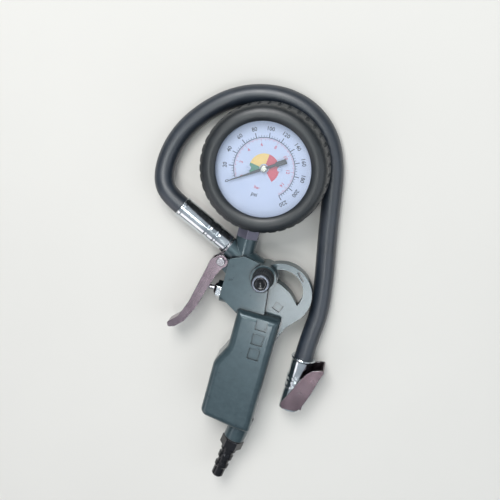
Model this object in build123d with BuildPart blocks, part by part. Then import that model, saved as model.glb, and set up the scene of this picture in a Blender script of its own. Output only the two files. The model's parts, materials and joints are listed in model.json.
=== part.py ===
"""Tyre inflator with gauge: trigger gun, dial gauge in a rubber boot, whip hose and clip-on chuck.

Frame: the gun lies on its back, dial up (+Z). The handle runs along Y with the gauge at +Y.
The trigger is on -X and the hanging hook on +X. The gauge axis is X = 0. Units are millimetres.
"""
from build123d import *
from math import cos, pi, radians, sin, tan
import os

os.makedirs("parts", exist_ok=True)

# ---------------------------------------------------------------- driving dimensions
MID_Z = 13.5  # mid-plane of the casting, where every port axis lies
HANDLE_THICK = 27.0
HEAD_BACK = 5.0
HEAD_FRONT = 22.0

GAUGE_Y = 85.5  # dial axis
CASE_R = 31.0  # 63 mm nominal gauge
CASE_BACK = 2.4
CASE_FRONT = 29.3
CASE_WALL = 0.8
BOOT_R = 39.2
BOOT_FRONT = 35.0
BOOT_REAR_R = 32.6
BOOT_STEP_Z = 13.0
WINDOW_R = 28.3
DIAL_FRONT = 26.3

PIVOT = (-11.7, 20.8)  # trigger pin
LUG_HALF = 4.0
VALVE_Y = 1.7  # axis of the trigger valve
BLEED = (16.9, 19.65)  # axis of the bleed valve

HOOK_CENTRE = (29.6, 11.0)
HOOK_R = 19.7
HOOK_BACK = 9.0
HOOK_FRONT = 18.0

HOSE_R = 6.0
NIPPLE_R = 3.4
PORT_CENTRE = (0.0, 26.83)  # where the hose port axis crosses X = 0
PORT_DIR = Vector(-0.9126, 0.4089, 0)
BARREL_END = 10.0
FERRULE_END = 49.0  # distances from PORT_CENTRE along PORT_DIR
CRIMPED_R = 5.6  # the hose squeezed inside a ferrule
NECK_END = 39.6  # top of the gauge boss
NECK_R = 6.8

CHUCK_X = 54.8
CHUCK_Z = 9.3
CHUCK_TOP = -27.5
CHUCK_JOIN = -42.0
CHUCK_MOUTH = -64.2
CHUCK_BORE_R = 4.1  # slips over an 8V1 tyre valve
CHUCK_PIN = (58.9, -50.0)

INLET_LEAN = 8.3  # degrees
INLET_ORIGIN = (27.8, -80.0)
BOSS_END = 13.4  # distances from INLET_ORIGIN along the inlet
BOSS_R = 7.0
PLUG_TIP = 44.0
NOSE_R = 3.9

MODULE = 0.35  # gauge movement gears
PINION_TEETH = 10
SECTOR_TEETH = 70
PRESSURE_ANGLE = radians(28)
SECTOR_DIR = radians(-45)  # from the dial axis to the sector pivot
TAIL_R = 7.0
TAIL_START = radians(-18.55)

RUN = 0.06  # radial clearance of a running fit
FROM_END = (Align.CENTER, Align.CENTER, Align.MIN)


# ---------------------------------------------------------------- helpers
def rod(start, end, radius, mode=Mode.ADD):
    """Add or cut a round bar between two points of the open part."""
    along = Vector(*end) - Vector(*start)
    with Locations(Plane(origin=start, z_dir=along)):
        Cylinder(radius, along.length, align=FROM_END, mode=mode)


def block(low, high, mode=Mode.ADD):
    """Add or cut a box between its lowest and highest corners."""
    size = [h - l for l, h in zip(low, high)]
    with Locations(Vector(*low)):
        Box(*size, align=(Align.MIN, Align.MIN, Align.MIN), mode=mode)


def hex_bar(start, end, across_flats, turn=0):
    """Add a hexagonal bar between two points."""
    along = Vector(*end) - Vector(*start)
    plane = Plane(origin=start, z_dir=along)
    corner_r = across_flats / 3**0.5
    angles = [radians(turn + 60 * side) for side in range(6)]
    corners = [plane.from_local_coords((corner_r * cos(a), corner_r * sin(a))) for a in angles]
    add(Solid.extrude(Face(Wire.make_polygon(corners)), along))


def port(distance):
    """Point on the hose port axis."""
    return tuple(Vector(*PORT_CENTRE, MID_Z) + PORT_DIR * distance)


def inlet(distance):
    """Point on the inlet axis."""
    lean = radians(INLET_LEAN)
    x = INLET_ORIGIN[0] - sin(lean) * distance
    y = INLET_ORIGIN[1] - cos(lean) * distance
    return (x, y, MID_Z)


def valve(x):
    """Point on the trigger valve axis."""
    return (x, VALVE_Y, MID_Z)


def bleed(z):
    """Point on the bleed valve axis."""
    return (*BLEED, z)


def gauge(x, y, z):
    """Point given from the dial axis."""
    return (x, GAUGE_Y + y, z)


def chuck(y):
    """Point on the chuck axis."""
    return (CHUCK_X, y, CHUCK_Z)


def gear_points(teeth, first, last, thinning, centre, start_angle):
    """Outline of involute teeth number first to last, anticlockwise, with stub tips."""
    pitch = MODULE * teeth / 2
    base = pitch * cos(PRESSURE_ANGLE)
    tip = pitch + 0.75 * MODULE
    root = pitch - 0.95 * MODULE
    half_at_pitch = pi / 2 / teeth - thinning / pitch
    points = []

    def involute(radius):
        turn = max((radius / base) ** 2 - 1, 0) ** 0.5
        return turn - Vector(1, turn).get_angle(Vector(1, 0)) * pi / 180

    def place(radius, angle):
        points.append((centre[0] + radius * cos(angle), centre[1] + radius * sin(angle)))

    flank = [max(base, root) + (tip - max(base, root)) * step / 3 for step in range(4)]
    for tooth in range(first, last + 1):
        middle = start_angle + 2 * pi * tooth / teeth
        widths = [half_at_pitch + involute(pitch) - involute(radius) for radius in flank]
        place(root, middle - widths[0] * 1.15)
        for radius, width in zip(flank, widths):
            place(radius, middle - width)
        for radius, width in zip(reversed(flank), reversed(widths)):
            place(radius, middle + width)
        place(root, middle + widths[0] * 1.15)
    return points


# ---------------------------------------------------------------- casting
HANDLE_OUTLINE = [
    (6.8, -4.0),
    (6.8, -29.0),
    (0.6, -42.0),
    (0.6, -79.2),
    (26.0, -82.6),
    (34.4, -82.6),
    (34.4, -4.0),
]
HANDLE_CORNERS = [1.5, 9.0, 9.0, 5.0, 6.0, 1.5, 1.5]
HEAD_OUTLINE = [(-6.5, 0.0), (-6.5, 25.0), (2.0, 29.0), (20.0, 26.0), (24.0, -9.0), (8.5, -9.0)]
WEB_OUTLINE = [(8.0, -12.0), (8.0, 10.0), (30.0, 14.0), (46.0, 0.0), (38.0, -9.5), (34.4, -20.0)]
LUG_OUTLINE = [(-3.0, 11.0), (-3.0, 22.6), (-10.9, 23.95), (-14.6, 19.2)]
HOLE_CENTRE = (29.5, 13.3)
HOLE_R = 13.6
WEB_EDGE_CENTRE = (19.7, -7.7)
WEB_EDGE_R = 26.0
SQUARE = 7.2
SQUARE_TOP = (23.9, -9.2)
SQUARE_PITCH = 9.9
SQUARE_DEPTH = 0.7
WEB_SQUARE = 5.2
RING_SLOT = (6.6, 1.3)

with BuildPart() as gun_body:
    with BuildSketch():
        with BuildLine():
            FilletPolyline(*HANDLE_OUTLINE, radius=HANDLE_CORNERS, close=True)
        make_face()
    extrude(amount=HANDLE_THICK)
    rims = gun_body.faces().filter_by(Axis.Z).edges()
    fillet(rims, radius=4.2)

    with BuildSketch(Plane.XY.offset(HEAD_BACK)) as head_plate:
        Polygon(*HEAD_OUTLINE, align=None)
        fillet(head_plate.vertices(), radius=1.4)
    extrude(amount=HEAD_FRONT - HEAD_BACK)

    with BuildSketch(Plane.XY.offset(HOOK_BACK)) as hook_web:
        Polygon(*WEB_OUTLINE, align=None)
        with Locations(HOOK_CENTRE):
            Circle(HOOK_R)
    extrude(amount=HOOK_FRONT - HOOK_BACK)

    rod(valve(-7), valve(21), 7.2)
    rod(port(-12.5), port(BARREL_END), 7.0)
    rod((0, 22, MID_Z), (0, NECK_END, MID_Z), NECK_R)
    rod(bleed(HEAD_BACK), bleed(24), 8.0)
    rod(inlet(-3), inlet(BOSS_END), BOSS_R)
    with BuildSketch(Plane.XY.offset(MID_Z - LUG_HALF)):
        Polygon(*LUG_OUTLINE, align=None)
        with Locations(PIVOT):
            Circle(3.3)
    extrude(amount=2 * LUG_HALF)

    with BuildSketch(Plane.XY.offset(HOOK_BACK - 1)) as hook_hole:
        with Locations(HOLE_CENTRE):
            Circle(HOLE_R)
        with Locations(WEB_EDGE_CENTRE):
            Circle(WEB_EDGE_R, mode=Mode.SUBTRACT)
        with Locations(BLEED):
            Circle(8.6, mode=Mode.SUBTRACT)
    extrude(amount=HOOK_FRONT - HOOK_BACK + 2, mode=Mode.SUBTRACT)

    with BuildSketch(Plane.XY.offset(HANDLE_THICK)):
        for row in range(3):
            with Locations((SQUARE_TOP[0], SQUARE_TOP[1] - SQUARE_PITCH * row)):
                Rectangle(SQUARE, SQUARE)
    extrude(amount=-SQUARE_DEPTH, mode=Mode.SUBTRACT)
    with BuildSketch(Plane.XY.offset(HOOK_FRONT)):
        with Locations((30.2, 2.6)):
            Rectangle(WEB_SQUARE, WEB_SQUARE, rotation=-22)
        with Locations((38.8, 25.4)):
            Rectangle(*RING_SLOT, rotation=-48)
    extrude(amount=-SQUARE_DEPTH, mode=Mode.SUBTRACT)

    rod((*PIVOT, 0), (*PIVOT, 30), 1.5, Mode.SUBTRACT)
    rod(valve(-8), valve(19.5), 5.0, Mode.SUBTRACT)
    rod(port(BARREL_END + 1), port(2.6), 5.05, Mode.SUBTRACT)
    rod(port(3), port(-11), 3.0, Mode.SUBTRACT)
    rod((0, NECK_END + 1, MID_Z), (0, 35.5, MID_Z), 5.45, Mode.SUBTRACT)
    rod((0, 36, MID_Z), (0, 28, MID_Z), 2.2, Mode.SUBTRACT)
    rod((1.0, VALVE_Y, MID_Z), (1.0, 27.5, MID_Z), 2.2, Mode.SUBTRACT)
    rod(bleed(25), bleed(14), 4.0, Mode.SUBTRACT)
    rod(bleed(14), bleed(8.5), 3.6, Mode.SUBTRACT)
    rod((10.0, 24.9, 11.0), (16.0, 21.5, 11.0), 1.5, Mode.SUBTRACT)
    rod(inlet(BOSS_END + 1), inlet(0.6), 6.0, Mode.SUBTRACT)
    rod(inlet(1), (15.5, VALVE_Y, MID_Z), 2.8, Mode.SUBTRACT)

# ---------------------------------------------------------------- air inlet
PLUG_PROFILE = [  # radius, distance
    (2.6, 2.4), (5.95, 2.4), (5.95, BOSS_END), (4.6, BOSS_END), (4.6, 20.2), (5.2, 20.6),
    (5.2, 23.4), (4.2, 24.2), (4.2, 26.0), (4.9, 26.8), (4.9, 29.6), (3.8, 30.6), (3.8, 33.4),
    (4.6, 34.2), (4.6, 36.2), (NOSE_R, 37.2), (NOSE_R, PLUG_TIP - 0.9), (3.2, PLUG_TIP),
    (2.6, PLUG_TIP),
]
INLET_AXIS = Axis(inlet(0), Vector(*inlet(1)) - Vector(*inlet(0)))
PLUG_SECTION = Plane(origin=inlet(0), x_dir=(0, 0, 1), z_dir=INLET_AXIS.direction.cross(Vector(0, 0, -1)))

with BuildPart() as inlet_plug:
    with BuildSketch(PLUG_SECTION):
        with BuildLine():
            Polyline(*PLUG_PROFILE, close=True)
        make_face()
    revolve(axis=INLET_AXIS)
    hex_bar(inlet(14.5), inlet(20.2), 13.0)
    rod(inlet(2), inlet(PLUG_TIP + 1), 2.6, Mode.SUBTRACT)

with BuildPart() as inlet_seal:
    rod(inlet(BOSS_END), inlet(14.5), 6.8)
    rod(inlet(BOSS_END), inlet(14.5), 4.7, Mode.SUBTRACT)

with BuildPart() as inlet_filter:
    rod(inlet(0.7), inlet(2.3), 5.9)

# ---------------------------------------------------------------- hose ends at the gun
with BuildPart() as hose_fitting:
    rod(port(2.8), port(BARREL_END), 5.0)
    rod(port(BARREL_END), port(11.2), 5.8)
    rod(port(10.8), port(38), NIPPLE_R)
    for barb in range(4):
        with Locations(Plane(origin=port(17 + 5 * barb), z_dir=PORT_DIR)):
            Cone(NIPPLE_R + 0.45, NIPPLE_R, 3.2, align=FROM_END)
    rod(port(-2), port(39), 2.0, Mode.SUBTRACT)

PORT_SECTION = Plane(origin=port(0), x_dir=(0, 0, 1), z_dir=PORT_DIR.cross(Vector(0, 0, -1)))
PORT_AXIS = Axis(port(0), PORT_DIR)
FERRULE_PROFILE = [  # radius, distance
    (NIPPLE_R + 0.1, 11.3), (5.7, 11.3), (6.25, 12.2), (6.4, 18.8), (6.1, 19.6), (6.1, 20.8),
    (6.44, 21.6), (6.5, 25.4), (6.2, 26.2), (6.2, 27.4), (6.54, 28.2), (6.82, 46.4), (7.1, 47.0),
    (7.1, 48.5), (6.7, FERRULE_END), (CRIMPED_R + 0.05, FERRULE_END), (CRIMPED_R + 0.05, 12.5),
    (NIPPLE_R + 0.1, 12.5),
]

with BuildPart() as hose_ferrule:
    with BuildSketch(PORT_SECTION):
        with BuildLine():
            Polyline(*FERRULE_PROFILE, close=True)
        make_face()
    revolve(axis=PORT_AXIS)

with BuildPart() as hose_end_gun:
    rod(port(12.6), port(FERRULE_END), CRIMPED_R)
    rod(port(12), port(39), NIPPLE_R + 0.5, Mode.SUBTRACT)
    rod(port(39), port(FERRULE_END + 1), NIPPLE_R, Mode.SUBTRACT)

# ---------------------------------------------------------------- hose
HOSE_ROUTE = [
    port(FERRULE_END),
    port(FERRULE_END + 9.5),
    (-60.0, 57.4, 12.0),
    (-62.3, 68.5, 9.2),
    (-60.5, 82.0, 7.2),
    (-55.0, 95.0, 6.4),
    (-45.5, 107.5, 6.2),
    (-32.5, 119.0, 6.2),
    (-16.5, 126.2, 6.2),
    (1.5, 128.2, 6.2),
    (18.5, 123.5, 6.2),
    (32.0, 112.0, 6.2),
    (40.0, 95.0, 6.2),
    (43.6, 74.5, 6.2),
    (48.0, 50.0, 6.2),
    (53.0, 26.0, 6.2),
    (56.4, 3.0, 6.8),
    (CHUCK_X, -14.5, CHUCK_Z),
    (CHUCK_X, CHUCK_TOP, CHUCK_Z),
]


def bend_radii(route):
    """Largest easy bend at each inner point: 0.45 of the shorter run over tan(half the turn)."""
    radii = []
    for before, here, after in zip(route, route[1:], route[2:]):
        run_in = Vector(*here) - Vector(*before)
        run_out = Vector(*after) - Vector(*here)
        half_turn = radians(run_in.get_angle(run_out)) / 2
        radii.append(0.45 * min(run_in.length, run_out.length) / tan(half_turn))
    return radii


HOSE_RADII = bend_radii(HOSE_ROUTE)

with BuildPart() as hose:
    with BuildLine() as hose_path:
        FilletPolyline(*HOSE_ROUTE, radius=HOSE_RADII)
    with BuildSketch(Plane(origin=HOSE_ROUTE[0], z_dir=hose_path.line % 0)):
        Circle(HOSE_R)
    sweep()

# ---------------------------------------------------------------- trigger
TRIGGER_OUTLINE = [
    (-13.2, 24.2), (-18.4, 20.4), (-19.4, 15.0), (-25.2, -10.5), (-29.6, -21.8), (-35.6, -27.8),
    (-34.2, -30.6), (-30.0, -29.0), (-25.1, -23.8), (-20.4, -14.3), (-17.3, -3.1), (-13.2, 10.0),
    (-9.8, 17.0),
]
CHEEK = 1.3
TRIGGER_HALF = 5.6
WEB_INSET = (1.35, 0.0)
TRIGGER_POCKET = [
    (-17.4, 30.0), *TRIGGER_OUTLINE[1:5], (-35.6, -28.4), (-34.2, -36.0), (0.0, -36.0), (0.0, 30.0),
]

with BuildPart() as trigger:
    with BuildSketch(Plane.XY.offset(MID_Z - TRIGGER_HALF)) as cheek_outline:
        Polygon(*TRIGGER_OUTLINE, align=None)
        fillet(cheek_outline.vertices(), radius=1.2)
        with Locations(PIVOT):
            Circle(4.2)
    extrude(amount=2 * TRIGGER_HALF)
    with BuildSketch(Plane((*WEB_INSET, MID_Z - TRIGGER_HALF + CHEEK))):
        Polygon(*TRIGGER_POCKET, align=None)
    extrude(amount=2 * (TRIGGER_HALF - CHEEK), mode=Mode.SUBTRACT)
    rod((*PIVOT, 0), (*PIVOT, 30), 1.5 + RUN, Mode.SUBTRACT)

with BuildPart() as trigger_pin:
    rod((*PIVOT, 6.4), (*PIVOT, 20.2), 1.48)
    rod((*PIVOT, 19.3), (*PIVOT, 20.4), 2.8)
    fillet(trigger_pin.faces().sort_by(Axis.Z)[-1].edges(), radius=0.6)
    rod((*PIVOT, 6.9), (*PIVOT, 7.6), 3.0, Mode.SUBTRACT)
    rod((*PIVOT, 6.4), (*PIVOT, 7.7), 1.1)

with BuildPart() as trigger_clip:
    rod((*PIVOT, 6.95), (*PIVOT, 7.55), 2.9)
    rod((*PIVOT, 6.9), (*PIVOT, 7.6), 1.15, Mode.SUBTRACT)
    block((PIVOT[0] - 0.9, PIVOT[1] - 4, 6.9), (PIVOT[0] + 0.9, PIVOT[1], 7.6), Mode.SUBTRACT)

# ---------------------------------------------------------------- trigger valve
STEM_TIP = -20.9
SEAT_X = 8.0

with BuildPart() as valve_gland_nut:
    rod(valve(-7), valve(-1.5), 4.95)
    hex_bar(valve(-10.2), valve(-7), 10.4, 30)
    with Locations(Plane(origin=valve(-10.2), z_dir=(-1, 0, 0))):
        Cone(4.6, 3.0, 1.6, align=FROM_END)
    rod(valve(-12), valve(-1), 1.5 + RUN, Mode.SUBTRACT)
    rod(valve(-3.7), valve(-1), 3.2, Mode.SUBTRACT)

with BuildPart() as gland_o_ring:
    with Locations(Plane(origin=valve(-2.7), z_dir=(1, 0, 0))):
        Torus(2.35, 0.75)

with BuildPart() as valve_seat:
    rod(valve(3.4), valve(SEAT_X), 4.95)
    rod(valve(3), valve(9), 2.6, Mode.SUBTRACT)
    with Locations(Plane(origin=valve(5.6), z_dir=(1, 0, 0))):
        Torus(4.3, 0.76, mode=Mode.SUBTRACT)

with BuildPart() as seat_o_ring:
    with Locations(Plane(origin=valve(5.6), z_dir=(1, 0, 0))):
        Torus(4.3, 0.68)

with BuildPart() as valve_stem:
    rod(valve(STEM_TIP), valve(13.4), 1.5)
    rod(valve(9.3), valve(10.6), 4.2)
    fillet(valve_stem.edges().group_by(Axis.X)[0], radius=1.2)

with BuildPart() as valve_disc:
    rod(valve(SEAT_X + 0.02), valve(9.3), 4.0)
    rod(valve(7), valve(10), 1.52, Mode.SUBTRACT)

# ---------------------------------------------------------------- bleed valve
COLLAR_TOP = 36.6
COLLAR_FLOOR = 22.0
COLLAR_R = 6.1
KNURLS = 26
BUTTON_R = 3.8
BUTTON_TOP = 37.6
DISH_DEPTH = 0.7
DISH_R = 7.0

with BuildPart() as bleed_collar:
    rod(bleed(14.1), bleed(24), 3.95)
    rod(bleed(24.9), bleed(COLLAR_TOP), COLLAR_R)
    rod(bleed(24), bleed(24.9), 5.2)
    chamfer(bleed_collar.edges().group_by(Axis.Z)[-1], length=0.6)
    with Locations(Vector(*bleed(25.6))):
        with PolarLocations(COLLAR_R + 0.25, KNURLS):
            Cylinder(0.55, 9.2, align=FROM_END, mode=Mode.SUBTRACT)
    rod(bleed(COLLAR_FLOOR), bleed(COLLAR_TOP + 1), BUTTON_R + 0.1, Mode.SUBTRACT)
    rod(bleed(13), bleed(23), 1.7, Mode.SUBTRACT)

with BuildPart() as button_ring:
    rod(bleed(COLLAR_TOP), bleed(38.0), 5.45)
    fillet(button_ring.edges().group_by(Axis.Z)[-1], radius=0.5)
    rod(bleed(COLLAR_TOP - 1), bleed(39), BUTTON_R + 0.3, Mode.SUBTRACT)

with BuildPart() as collar_o_ring:
    rod(bleed(24.02), bleed(24.88), 6.9)
    rod(bleed(24), bleed(25), 5.3, Mode.SUBTRACT)
    fillet(collar_o_ring.edges().filter_by(GeomType.CIRCLE).group_by(SortBy.RADIUS)[-1], radius=0.35)

with BuildPart() as bleed_button:
    rod(bleed(12.2), bleed(31), 1.2)
    rod(bleed(30), bleed(BUTTON_TOP), BUTTON_R)
    fillet(bleed_button.edges().group_by(Axis.Z)[-1], radius=0.5)
    with Locations(Vector(*bleed(BUTTON_TOP - DISH_DEPTH + DISH_R))):
        Sphere(DISH_R, mode=Mode.SUBTRACT)
    rod(bleed(11.8), bleed(12.7), 2.9)

with BuildPart() as bleed_seal:
    rod(bleed(12.75), bleed(14.05), 3.0)
    rod(bleed(12), bleed(15), 1.25, Mode.SUBTRACT)

# ---------------------------------------------------------------- springs
SPRINGS = [  # name, foot, direction, coil radius, wire radius, length, turns
    ("valve_spring", valve(11.1), (1, 0, 0), 3.1, 0.45, 7.9, 4.5),
    ("bleed_spring", bleed(22.4), (0, 0, 1), 2.5, 0.35, 7.2, 5),
    ("chuck_spring", (60.75, -46.0, CHUCK_Z), (1, 0, 0), 1.6, 0.3, 2.9, 2.5),
]
spring_parts = []
for spring_name, foot, direction, coil_r, wire_r, length, turns in SPRINGS:
    with BuildPart() as spring:
        with BuildLine() as spring_path:
            Helix(length / turns, length, coil_r, center=foot, direction=direction)
        with BuildSketch(Plane(origin=spring_path.line @ 0, z_dir=spring_path.line % 0)):
            Circle(wire_r)
        sweep(is_frenet=True)
    spring.part.label = spring_name
    spring_parts.append(spring.part)

# ---------------------------------------------------------------- gauge shell
GAUGE_SECTION = Plane(origin=(0, GAUGE_Y, 0), x_dir=(1, 0, 0), z_dir=(0, -1, 0))
GAUGE_AXIS = Axis((0, GAUGE_Y, 0), (0, 0, 1))
BOOT_PROFILE = [
    (25.0, 0.0), (31.4, 0.0), (BOOT_REAR_R, 1.2), (BOOT_REAR_R, BOOT_STEP_Z), (38.2, BOOT_STEP_Z),
    (BOOT_R, 14.0), (BOOT_R, 21.0), (38.7, 27.0), (37.6, 31.0), (36.2, 33.6), (33.8, BOOT_FRONT),
    (31.0, BOOT_FRONT),
    (WINDOW_R, 33.6), (WINDOW_R, 32.3), (32.1, 32.3), (32.1, 23.0), (31.05, 22.4), (31.05, 2.3),
    (25.0, 2.3),
]
TREADS = 40
BEZEL_R = 31.95

with BuildPart() as rubber_boot:
    with BuildSketch(GAUGE_SECTION):
        with BuildLine():
            Polyline(*BOOT_PROFILE, close=True)
        make_face()
    revolve(axis=GAUGE_AXIS)
    with Locations((0, GAUGE_Y, 16.0)):
        with PolarLocations(BOOT_R, TREADS, start_angle=4.5):
            Box(2.6, 2.2, 13.0, align=(Align.CENTER, Align.CENTER, Align.MIN), mode=Mode.SUBTRACT)
    rod((0, 40, MID_Z), (0, 60, MID_Z), NECK_R + 0.8, Mode.SUBTRACT)

with BuildPart() as gauge_case:
    rod(gauge(0, 0, CASE_BACK), gauge(0, 0, CASE_FRONT), CASE_R)
    fillet(gauge_case.edges().group_by(Axis.Z)[0], radius=1.0)
    rod(gauge(0, 0, CASE_BACK + CASE_WALL), gauge(0, 0, 40), CASE_R - CASE_WALL, Mode.SUBTRACT)
    rod((0, 40, MID_Z), (0, 60, MID_Z), 6.5, Mode.SUBTRACT)
    rod(gauge(0, 20, 0), gauge(0, 20, 5), 4.0, Mode.SUBTRACT)

with BuildPart() as case_vent_plug:
    rod(gauge(0, 20, 1.6), gauge(0, 20, 2.35), 4.7)
    rod(gauge(0, 20, 2), gauge(0, 20, 4.2), 3.9)

with BuildPart() as lens_gasket:
    rod(gauge(0, 0, CASE_FRONT + 0.02), gauge(0, 0, 29.98), 30.9)
    rod(gauge(0, 0, 29), gauge(0, 0, 31), 29.0, Mode.SUBTRACT)

with BuildPart() as lens:
    rod(gauge(0, 0, 30.0), gauge(0, 0, 31.4), 30.9)

with BuildPart() as bezel_ring:
    rod(gauge(0, 0, 24.0), gauge(0, 0, 32.2), BEZEL_R)
    fillet(bezel_ring.edges().group_by(Axis.Z)[-1], radius=0.5)
    rod(gauge(0, 0, 23), gauge(0, 0, 31.42), CASE_R + 0.05, Mode.SUBTRACT)
    rod(gauge(0, 0, 31), gauge(0, 0, 33), 28.6, Mode.SUBTRACT)

# ---------------------------------------------------------------- gauge movement
BLOCK_TOP = -19.6
BOURDON_R = 23.5
BOURDON_ARC = 257
PLATE_CENTRE = (3.5, -4.5)
PLATE_R = 14.5
REAR_PLATE_Z = 9.0
FRONT_PLATE_Z = 17.6
GEAR_DISTANCE = MODULE * (PINION_TEETH + SECTOR_TEETH) / 2
SECTOR_X = GEAR_DISTANCE * cos(SECTOR_DIR)
SECTOR_Y = GEAR_DISTANCE * sin(SECTOR_DIR)
TAIL_X = SECTOR_X + TAIL_R * cos(TAIL_START)
TAIL_Y = SECTOR_Y + TAIL_R * sin(TAIL_START)
TIP_PIN = (16.7, -4.0)
PILLARS = [(-6.5, -12.0), (-7.0, 3.2), (12.6, 4.2)]
DIAL_POSTS = [(-9.0, -2.0), (9.0, 2.0)]
PLATE_SCREWS = [(-3.5, -15.5), (3.0, -15.5)]

with BuildPart() as gauge_socket:
    rod((0, 35.7, MID_Z), (0, NECK_END, MID_Z), 5.4)
    hex_bar((0, NECK_END, MID_Z), (0, 47.0, MID_Z), 13.0)
    rod((0, 47.0, MID_Z), (0, 57.0, MID_Z), 6.4)
    block(gauge(-6.5, -29.4, 7.0), gauge(6.5, BLOCK_TOP, 20.0))
    block(gauge(-6.5, BLOCK_TOP, 7.0), gauge(6.5, -12.4, REAR_PLATE_Z))
    rod((0, 34, MID_Z), (0, GAUGE_Y - 22, MID_Z), 2.0, Mode.SUBTRACT)

with BuildPart() as bourdon_tube:
    with BuildSketch(GAUGE_SECTION):
        with Locations((BOURDON_R, MID_Z)):
            RectangleRounded(2.8, 7.0, 1.2)
            RectangleRounded(2.0, 6.2, 0.8, mode=Mode.SUBTRACT)
    revolve(axis=GAUGE_AXIS, revolution_arc=BOURDON_ARC)

with BuildPart() as bourdon_tip:
    block(gauge(22.0, -3.6, 10.0), gauge(25.0, -0.02, 17.0))
    block(gauge(15.4, -5.2, 14.6), gauge(22.6, -2.8, 16.4))
    rod(gauge(*TIP_PIN, 12.9), gauge(*TIP_PIN, 14.7), 0.5)

with BuildPart() as movement_rear_plate:
    rod(gauge(*PLATE_CENTRE, REAR_PLATE_Z), gauge(*PLATE_CENTRE, REAR_PLATE_Z + 1), PLATE_R)
    rod(gauge(0, 0, 8), gauge(0, 0, 11), 0.5 + RUN, Mode.SUBTRACT)
    rod(gauge(SECTOR_X, SECTOR_Y, 8), gauge(SECTOR_X, SECTOR_Y, 11), 0.8 + RUN, Mode.SUBTRACT)
    for spot in PLATE_SCREWS:
        rod(gauge(*spot, 8), gauge(*spot, 11), 0.9, Mode.SUBTRACT)

with BuildPart() as movement_front_plate:
    rod(gauge(*PLATE_CENTRE, FRONT_PLATE_Z), gauge(*PLATE_CENTRE, FRONT_PLATE_Z + 1), PLATE_R)
    rod(gauge(0, 0, 17), gauge(0, 0, 20), 0.5 + RUN, Mode.SUBTRACT)
    rod(gauge(SECTOR_X, SECTOR_Y, 17), gauge(SECTOR_X, SECTOR_Y, 20), 0.8 + RUN, Mode.SUBTRACT)

with BuildPart() as movement_pillars:
    for spot in PILLARS:
        rod(gauge(*spot, REAR_PLATE_Z + 1), gauge(*spot, FRONT_PLATE_Z), 1.2)

with BuildPart() as movement_screws:
    for spot in PLATE_SCREWS:
        rod(gauge(*spot, REAR_PLATE_Z + 1), gauge(*spot, REAR_PLATE_Z + 1.9), 1.6)
        rod(gauge(*spot, REAR_PLATE_Z), gauge(*spot, REAR_PLATE_Z + 1), 0.85)

PINION_ANGLE = SECTOR_DIR  # a pinion tooth points at the sector pivot
with BuildPart() as pinion_arbor:
    with BuildSketch(Plane.XY.offset(11.6)):
        Polygon(
            *gear_points(PINION_TEETH, 0, PINION_TEETH - 1, 0.03, (0, GAUGE_Y), PINION_ANGLE),
            align=None,
        )
    extrude(amount=1.8)
    rod(gauge(0, 0, 9.1), gauge(0, 0, 28.2), 0.5)
    rod(gauge(0, 0, 14.4), gauge(0, 0, 16.4), 1.1)

SECTOR_FIRST = -9  # tooth numbers, counted from the gap that faces the pinion at rest
SECTOR_LAST = 1
SECTOR_START = SECTOR_DIR + pi + pi / SECTOR_TEETH
with BuildPart() as sector_gear:
    with BuildSketch(Plane.XY.offset(12.0)):
        sector_centre = (SECTOR_X, GAUGE_Y + SECTOR_Y)
        Polygon(
            *gear_points(SECTOR_TEETH, SECTOR_FIRST, SECTOR_LAST, 0.03, sector_centre, SECTOR_START),
            sector_centre,
            align=None,
        )
        with Locations(sector_centre):
            Circle(2.4)
        with Locations((TAIL_X, GAUGE_Y + TAIL_Y)):
            Circle(1.5)
        Polygon(
            (SECTOR_X - 1.5, GAUGE_Y + SECTOR_Y - 1.5),
            (TAIL_X - 0.4, GAUGE_Y + TAIL_Y - 1.4),
            (TAIL_X + 0.4, GAUGE_Y + TAIL_Y + 1.4),
            (SECTOR_X + 1.0, GAUGE_Y + SECTOR_Y + 2.0),
            align=None,
        )
        with Locations((TAIL_X, GAUGE_Y + TAIL_Y)):
            Circle(0.62, mode=Mode.SUBTRACT)
    extrude(amount=1.0)
    rod(gauge(SECTOR_X, SECTOR_Y, 9.1), gauge(SECTOR_X, SECTOR_Y, 18.5), 0.8)

with BuildPart() as link_rivet:
    rod(gauge(TAIL_X, TAIL_Y, 12.0), gauge(TAIL_X, TAIL_Y, 14.2), 0.6)
    rod(gauge(TAIL_X, TAIL_Y, 14.15), gauge(TAIL_X, TAIL_Y, 14.5), 1.1)
    rod(gauge(TAIL_X, TAIL_Y, 11.6), gauge(TAIL_X, TAIL_Y, 12.0), 1.1)

SLOT_LOW = 2.9
SLOT_HIGH = 8.9
with BuildPart() as link:
    with BuildSketch(Plane.XY.offset(13.2)):
        with Locations((TAIL_X, GAUGE_Y + TAIL_Y + 4.4)):
            RectangleRounded(3.2, 12.0, 1.55)
        with Locations((TAIL_X + 0.16, GAUGE_Y + TAIL_Y + (SLOT_LOW + SLOT_HIGH) / 2)):
            SlotOverall(SLOT_HIGH - SLOT_LOW, 2.0, rotation=90, mode=Mode.SUBTRACT)
        with Locations((TAIL_X, GAUGE_Y + TAIL_Y)):
            Circle(0.6 + RUN, mode=Mode.SUBTRACT)
    extrude(amount=0.8)

HAIR_PITCH = 0.8
HAIR_INNER = 1.6
HAIR_HALF = 0.12
with BuildPart() as hairspring:
    with BuildSketch(Plane.XY.offset(15.0)):
        for half in range(9):
            coil_radius = HAIR_INNER + HAIR_PITCH / 2 * half
            side = 1 if half % 2 == 0 else -1
            centre = (side * HAIR_PITCH / 4, GAUGE_Y)
            start = 90 - 90 * side
            with BuildLine():
                outer = CenterArc(centre, coil_radius + HAIR_HALF, start, 180)
                inner = CenterArc(centre, coil_radius - HAIR_HALF, start, 180)
                Line(outer @ 0, inner @ 0)
                Line(outer @ 1, inner @ 1)
            make_face()
    extrude(amount=0.6)

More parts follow.
